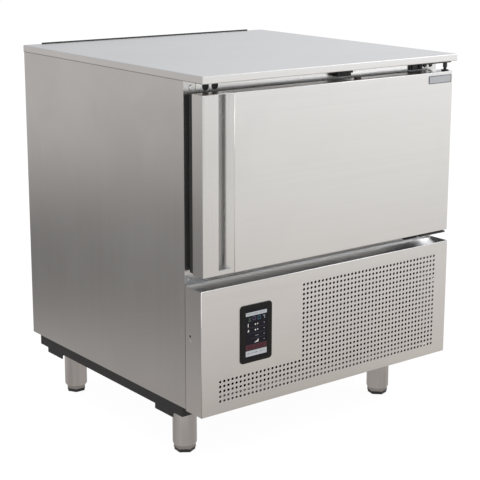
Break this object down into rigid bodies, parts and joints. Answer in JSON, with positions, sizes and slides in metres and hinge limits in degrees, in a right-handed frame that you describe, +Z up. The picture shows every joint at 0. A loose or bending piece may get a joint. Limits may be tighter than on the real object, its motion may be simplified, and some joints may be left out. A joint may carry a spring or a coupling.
{
  "type": "blast chiller",
  "caption": "Free-standing blast chiller for trays: insulated cell with a side-hung door, bar grip, perforated front with touch display, plant bay below, round legs.",
  "frame": {"origin": "middle of the worktop's outline, on the floor", "axes": "+Z up, the door faces -Y, the hinge is on +X"},
  "size_m": [0.8, 0.81, 0.953],
  "materials": {
    "worktop_steel": "brushed along the width",
    "core_board": "raw board",
    "side_steel": "brushed along the height",
    "galvanised": "galvanised sheet",
    "frame_steel": "satin",
    "breaker_plastic": "moulded",
    "trough_steel": "satin",
    "cell_steel": "bright annealed",
    "foam": null,
    "black_paint": "black, satin",
    "front_steel": "brushed along the width",
    "black_gloss": "glossy",
    "display_glass": "glass with the picture behind it",
    "circuit_board": "solder mask",
    "black_plastic": "fine grain",
    "hinge_steel": "dark plated",
    "door_steel": "brushed along the width",
    "handle_steel": "brushed along the height",
    "seal_rubber": "matte",
    "badge": "satin, bare",
    "fins": "rolled fins",
    "wire": "plated wire",
    "motor_paint": "satin",
    "rack_steel": "satin",
    "compressor_paint": "black, gloss",
    "copper": "drawn tube",
    "leg_steel": "brushed around",
    "foot_plastic": "dark, satin",
    "screw_steel": "turned"
  },
  "bodies": {
    "cabinet": {"worktop": "worktop_steel", "worktop_core": "core_board", "rear_strip": "seal_rubber", "left_side_panel": "side_steel", "right_side_panel": "side_steel", "back_panel": "galvanised", "rear_grille": "galvanised", "front_frame": "frame_steel", "mouth_frame": "breaker_plastic", "sill_trough": "trough_steel", "cell_liner": "cell_steel", "insulation": "foam", "cell_underpan": "galvanised", "base_frame": "black_paint", "foot_brackets": "black_paint", "deck_pan": "galvanised", "drain_pipe": "cell_steel", "front_panel": "front_steel", "display_bezel": "black_gloss", "display_glass": "display_glass", "display_board": "circuit_board", "electrical_box": "black_paint", "power_board": "circuit_board", "cable_gland": "black_plastic", "upper_hinge": "hinge_steel", "lower_hinge": "hinge_steel", "spare_hinge_plate": "galvanised", "door_switch": "black_plastic", "evaporator_coil": "fins", "evaporator_cover": "cell_steel", "evaporator_fan_guard": "wire", "evaporator_fan_motor": "motor_paint", "tray_rack_left": "rack_steel", "tray_rack_right": "rack_steel", "core_probe": "black_plastic", "compressor": "compressor_paint", "compressor_mounts": "seal_rubber", "condenser_coil": "black_paint", "condenser_shroud": "black_paint", "condenser_fan_motor": "motor_paint", "liquid_receiver": "compressor_paint", "filter_drier": "copper", "pipework": "copper", "leg_tubes": "leg_steel", "casing_screws": "screw_steel"},
    "door": {"door_skin": "door_steel", "door_handle": "handle_steel", "door_foam": "foam", "door_inner_frame": "black_plastic", "door_inner_panel": "cell_steel", "door_seal": "seal_rubber", "badge_plate": "badge", "door_bushes": "black_plastic", "door_magnet": "black_plastic"},
    "evaporator_fan": {"evaporator_fan_rotor": "black_plastic"},
    "condenser_fan": {"condenser_fan_rotor": "black_plastic"},
    "foot_front_left_body": {"foot_front_left": "foot_plastic"},
    "foot_front_right_body": {"foot_front_right": "foot_plastic"},
    "foot_rear_left_body": {"foot_rear_left": "foot_plastic"},
    "foot_rear_right_body": {"foot_rear_right": "foot_plastic"}
  },
  "joints": [
    {"name": "door_hinge", "type": "hinge", "parent": "cabinet", "child": "door", "pos_m": [0.379, -0.382, 0.6975], "axis": [0, 0, 1], "range_deg": [0, 110]},
    {"name": "evaporator_fan_shaft", "type": "hinge", "parent": "cabinet", "child": "evaporator_fan", "pos_m": [0, 0.1618, 0.6975], "axis": [0, 1, 0], "continuous": true},
    {"name": "condenser_fan_shaft", "type": "hinge", "parent": "cabinet", "child": "condenser_fan", "pos_m": [0.1895, -0.205, 0.305], "axis": [0, 1, 0], "continuous": true},
    {"name": "foot_front_left_screw", "type": "slide", "parent": "cabinet", "child": "foot_front_left_body", "axis": [0, 0, -1], "range_m": [0, 0.035]},
    {"name": "foot_front_right_screw", "type": "slide", "parent": "cabinet", "child": "foot_front_right_body", "axis": [0, 0, -1], "range_m": [0, 0.035]},
    {"name": "foot_rear_left_screw", "type": "slide", "parent": "cabinet", "child": "foot_rear_left_body", "axis": [0, 0, -1], "range_m": [0, 0.035]},
    {"name": "foot_rear_right_screw", "type": "slide", "parent": "cabinet", "child": "foot_rear_right_body", "axis": [0, 0, -1], "range_m": [0, 0.035]}
  ]
}
